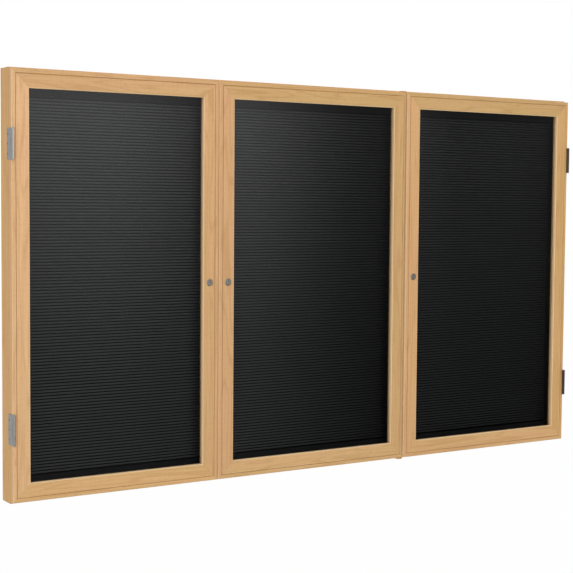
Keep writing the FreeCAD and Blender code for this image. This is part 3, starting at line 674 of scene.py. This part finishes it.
def screw_points(name, spots):
    """Places for screws: a mesh of loose points, each with the way that its head faces."""
    mesh = bpy.data.meshes.new(name)
    mesh.from_pydata([tuple(place) for place, facing in spots], [], [])
    ways = mesh.attributes.new("facing", "FLOAT_VECTOR", "POINT")
    for number, (place, facing) in enumerate(spots):
        ways.data[number].vector = facing
    return mesh


# Felt ribs, one on each land between two grooves, from the grooves' and trim's own sizes

GROOVE_PITCH = 7.8 * MM
GROOVE_MOUTH = 2.4 * MM
GROOVE_MARGIN = 30 * MM
RIB_WIDTH = 5.0 * MM
RIB_HEIGHT = 1.1 * MM
# The trim's widths; its top strip is wider than the bottom one, its black standing in for part of
# the shadow under the top rail
SIDE_TRIM = 20 * MM
TOP_TRIM = 46 * MM
BOTTOM_TRIM = 38 * MM

ribs = rib_tree()
for side in DOORS:
    low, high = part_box(f"{side}_letter_panel")
    trim_low, trim_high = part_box(f"{side}_panel_trim")
    room = high.z - low.z - GROOVE_MARGIN * 2 - GROOVE_MOUTH
    grooves = int(room // GROOVE_PITCH) + 1
    first = low.z + (high.z - low.z - GROOVE_PITCH * (grooves - 1) - GROOVE_MOUTH) / 2
    rib = first + GROOVE_MOUTH + (GROOVE_PITCH - GROOVE_MOUTH) / 2
    while rib - GROOVE_PITCH / 2 < trim_low.z + BOTTOM_TRIM:
        rib += GROOVE_PITCH
    count = int((trim_high.z - TOP_TRIM - rib - GROOVE_PITCH / 2) // GROOVE_PITCH) + 1
    start = (trim_low.x + SIDE_TRIM, low.y, rib)
    grow(f"{side}_felt_ribs", ribs, {
        "Length": trim_high.x - trim_low.x - SIDE_TRIM * 2, "Pitch": GROOVE_PITCH,
        "Rib Width": RIB_WIDTH, "Rib Height": RIB_HEIGHT,
        "Count": count, "Start": start, "Material": ribbed_felts[side]}, "cabinet")

# Screws

SCREW_BLACKENED = paint(66, 64, 64)
screw_steel = satin_steel("screw_steel", SCREW_BLACKENED, 0.34, (600, 600, 600))
screws = screw_tree()
SCREW = {"Head Radius": 3.1 * MM, "Rise": 0.25 * MM, "Recess Width": 0.9 * MM,
         "Recess Depth": 0.45 * MM, "Seed": 7, "Material": screw_steel}
DOOR_SCREW_RISE = 0.15 * MM
LEAF_STEPS = (-24 * MM, 0.0, 24 * MM)
LEAF_THICKNESS = 1.6 * MM
FIXED_LEAF_MARGIN = 6.5 * MM
DOOR_LEAF_LET_IN = 0.4 * MM
DOOR_LEAF_DEPTH = 7 * MM
PLATE_STEPS = (-9 * MM, 9 * MM)
PLATE_THICKNESS = 1.5 * MM
PLATE_MARGIN = 6 * MM

fixed_spots = []
for side, way in (("left", -1), ("right", 1)):
    door_spots = []
    fixed_face = (BOARD_HALF_WIDTH + LEAF_THICKNESS) * way
    door_face = (BOARD_HALF_WIDTH - DOOR_LEAF_LET_IN) * way
    for spot in ("upper", "lower"):
        leaf = f"{side}_{spot}_hinge_fixed_leaf"
        fixed_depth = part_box(leaf)[1].y - FIXED_LEAF_MARGIN
        for step in LEAF_STEPS:
            level = middle_of(leaf).z + step
            fixed_spots.append(((fixed_face, fixed_depth, level), (way, 0, 0)))
            door_spots.append(((door_face, BOARD_FRONT + DOOR_LEAF_DEPTH, level), (way, 0, 0)))
    points = screw_points(f"{side}_hinge_screw_points", door_spots)
    grow(f"{side}_door_leaf_screws", screws, dict(SCREW, Rise=DOOR_SCREW_RISE),
         f"{side}_door", points)

# Which mullion each strike plate is on, and the way the plate faces
STRIKES = (("left", -1), ("left", 1), ("right", 1))
plate_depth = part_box("strike_plates")[1].y - PLATE_MARGIN
plate_level = middle_of("strike_plates").z
for mullion, way in STRIKES:
    low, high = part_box(f"{mullion}_mullion")
    face = (high.x if way > 0 else low.x) + PLATE_THICKNESS * way
    for step in PLATE_STEPS:
        fixed_spots.append(((face, plate_depth, plate_level + step), (way, 0, 0)))
points = screw_points("cabinet_screw_points", fixed_spots)
grow("cabinet_screws", screws, SCREW, "cabinet", points)


# Glazing pins along the strips behind each pane

PIN_RADIUS = 0.9 * MM
PIN_CROWN_SHARE = 0.55
PIN_RISE = 0.3 * MM
PIN_SPACING = 95 * MM
STRIP_WIDTH = 7 * MM
CORNER_GAP = 20 * MM


def pin_tree():
    """Small domed pin heads, evenly spaced down both upright strips and along both level ones."""
    tree = Grower("glazing_pins", {
        "Pin Radius": "Float", "Rise": "Float", "Width": "Float", "Height": "Float",
        "Corner Gap": "Float", "Pins Across": "Int", "Pins Up": "Int", "Centre": "Vector"})
    given = tree.given
    crown = tree.math("MULTIPLY", given["Pin Radius"], PIN_CROWN_SHARE)
    dome = tree.node("GeometryNodeMeshCone", {
        "Vertices": 10, "Radius Top": crown, "Radius Bottom": given["Pin Radius"],
        "Depth": given["Rise"]})
    upright = tree.node("GeometryNodeTransform", {
        "Geometry": dome.outputs["Mesh"], "Rotation": (-math.pi / 2, 0, 0)})
    half_width = tree.math("DIVIDE", given["Width"], 2.0)
    half_height = tree.math("DIVIDE", given["Height"], 2.0)
    short_width = tree.math("SUBTRACT", half_width, given["Corner Gap"])
    short_height = tree.math("SUBTRACT", half_height, given["Corner Gap"])
    spots = tree.node("GeometryNodeJoinGeometry")
    leftmost = tree.math("MULTIPLY", short_width, -1.0)
    lowest = tree.math("MULTIPLY", short_height, -1.0)
    for way in (-1.0, 1.0):
        level = tree.math("MULTIPLY", half_height, way)
        beside = tree.math("MULTIPLY", half_width, way)
        ends = {
            "Pins Across": (tree.vector(leftmost, 0.0, level),
                            tree.vector(short_width, 0.0, level)),
            "Pins Up": (tree.vector(beside, 0.0, lowest),
                        tree.vector(beside, 0.0, short_height)),
        }
        for count, (start, end) in ends.items():
            row = tree.node("GeometryNodeMeshLine", {
                "Count": given[count], "Start Location": start, "Offset": end}, mode="END_POINTS")
            tree.feed(spots.inputs[0], row.outputs[0])
    placed = tree.node("GeometryNodeTransform", {
        "Geometry": spots.outputs[0], "Translation": given["Centre"]})
    copies = tree.node("GeometryNodeInstanceOnPoints", {
        "Points": placed.outputs[0], "Instance": upright.outputs[0]})
    return tree.finish(copies.outputs[0])


def pins_along(length):
    """How many pins hold a strip of this length."""
    return round((length - CORNER_GAP * 2) / PIN_SPACING) + 1


pins = pin_tree()
for side in DOORS:
    strips = f"{side}_door_glazing_strips"
    low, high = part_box(strips)
    width = high.x - low.x - STRIP_WIDTH
    height = high.z - low.z - STRIP_WIDTH
    centre = middle_of(strips)
    grow(f"{side}_door_pins", pins, {
        "Pin Radius": PIN_RADIUS, "Rise": PIN_RISE, "Width": width, "Height": height,
        "Corner Gap": CORNER_GAP, "Pins Across": pins_along(width), "Pins Up": pins_along(height),
        "Centre": (centre.x, high.y, centre.z), "Material": pin_steel}, f"{side}_door")


# Floor, light and camera

FLOOR_HALF = 30.0
FLOOR_LEVEL = -1.30
FLOOR_CLOTH = ((0.80, 0.80, 0.80, 1), (0.82, 0.82, 0.82, 1))
# How much of the floor's white glow the camera sees; the rest is lit and holds the shadow
FLOOR_GLOW = 0.97


def stage_floor():
    """A pale floor that keeps the board's shadow, and lets what mirrors see the room past it."""
    corners = [(-FLOOR_HALF, -FLOOR_HALF, FLOOR_LEVEL), (FLOOR_HALF, -FLOOR_HALF, FLOOR_LEVEL),
               (FLOOR_HALF, FLOOR_HALF, FLOOR_LEVEL), (-FLOOR_HALF, FLOOR_HALF, FLOOR_LEVEL)]
    mesh = bpy.data.meshes.new("studio_floor")
    mesh.from_pydata(corners, [], [(0, 1, 2, 3)])
    floor = link("studio_floor", mesh)
    cloth = Finish("studio_floor_white")
    cloud = cloth.noise(cloth.place(), scale=0.6)
    cloth.set(Base_Color=cloth.mix(cloud, *FLOOR_CLOTH), Roughness=0.9)
    ray = cloth.node("ShaderNodeLightPath").outputs
    glow = cloth.node("ShaderNodeEmission", {"Color": WHITE, "Strength": 1.0})
    seen = cloth.math("MULTIPLY", ray["Is Camera Ray"], FLOOR_GLOW)
    mirrored = cloth.math("MAXIMUM", ray["Is Glossy Ray"], ray["Is Transmission Ray"])
    past_it = cloth.node("ShaderNodeBsdfTransparent", {"Color": WHITE})
    cloth.show(cloth.blend(mirrored, cloth.blend(seen, cloth.surface, glow), past_it))
    mesh.materials.append(cloth.material)


class Studio(Finish):
    """The world, made with the same helpers as a finish."""

    def __init__(self, name):
        world = bpy.data.worlds.new(name)
        world.use_nodes = True
        bpy.context.scene.world = world
        self.tree = world.node_tree
        self.surface = self.tree.nodes["Background"]
        self.output = self.tree.nodes["World Output"]

    def smooth(self, value, low, high, new_low, new_high):
        """Map a range of values to a new one, eased at both of its ends."""
        inputs = {"Value": value, "From Min": low, "From Max": high,
                  "To Min": new_low, "To Max": new_high}
        made = self.node("ShaderNodeMapRange", inputs, interpolation_type="SMOOTHSTEP")
        return made.outputs[0]


# Where the studio's light changes, by the way that is looked in, and its levels on each side
FALL_TO_RIGHT = (0.403, 0.625, 1.0, 0.167)
RISE_FROM_FLOOR = (-0.169, 0.226, 0.062, 1.0)
WALL_BEHIND = (-0.10, 0.15, 0.0, 1.0)
WALL_AT_LEFT = (-0.45, -0.10, 1.0, 0.0)


def studio_world():
    """A white background and a soft room, which the panes and the metal mirror: white behind
    the board and to its left, and in front falling off to the right and towards the floor."""
    studio = Studio("studio")
    across, deep, up = studio.axes(studio.node("ShaderNodeTexCoord").outputs["Generated"])
    room = studio.math("MULTIPLY", studio.smooth(across, *FALL_TO_RIGHT),
                       studio.smooth(up, *RISE_FROM_FLOOR))
    walls = studio.math("MAXIMUM", studio.smooth(deep, *WALL_BEHIND),
                        studio.smooth(across, *WALL_AT_LEFT))
    studio.set(Color=WHITE, Strength=studio.math("MAXIMUM", room, walls))
    background = studio.node("ShaderNodeBackground", {"Color": WHITE, "Strength": 1.0})
    seen = studio.node("ShaderNodeLightPath").outputs["Is Camera Ray"]
    studio.show(studio.blend(seen, studio.surface, background))


def soft_box(name, at, aim, width, height, power):
    """A large soft lamp at one place, aimed at another."""
    lamp = bpy.data.lights.new(name, "AREA")
    lamp.shape = "RECTANGLE"
    lamp.size = width
    lamp.size_y = height
    lamp.energy = power
    holder = bpy.data.objects.new(name, lamp)
    bpy.context.scene.collection.objects.link(holder)
    holder.location = at
    holder.rotation_euler = (Vector(aim) - Vector(at)).to_track_quat("-Z", "Y").to_euler()


# The viewpoint worked out from the board's edges in the picture: its turns in degrees about X,
# then Y, then Z, and its lens in millimetres
CAMERA_STAND = Vector((-2.1241, -3.1950, 0.2128))
CAMERA_TURNS = (86.4384, -0.4329, -32.5773)
CAMERA_LENS = 85.332


def photo_camera():
    """Stand a camera where the picture was taken from."""
    data = bpy.data.cameras.new("photo_camera")
    data.sensor_fit = "HORIZONTAL"
    data.sensor_width = 36.0
    data.lens = CAMERA_LENS
    camera = bpy.data.objects.new("photo_camera", data)
    bpy.context.scene.collection.objects.link(camera)
    turn = Euler([math.radians(angle) for angle in CAMERA_TURNS])
    camera.matrix_world = Matrix.LocRotScale(CAMERA_STAND, turn, None)
    bpy.context.scene.camera = camera


stage_floor()
studio_world()
soft_box("key_box", at=(-0.15, -3.6, 2.2), aim=(-0.1, 0.0, 0.0), width=1.4, height=1.1, power=60)
soft_box("left_fill_box", at=(-3.6, -1.2, 0.6), aim=(0, 0, 0), width=1.6, height=1.6, power=10)
photo_camera()
bpy.context.scene.view_settings.view_transform = "Standard"
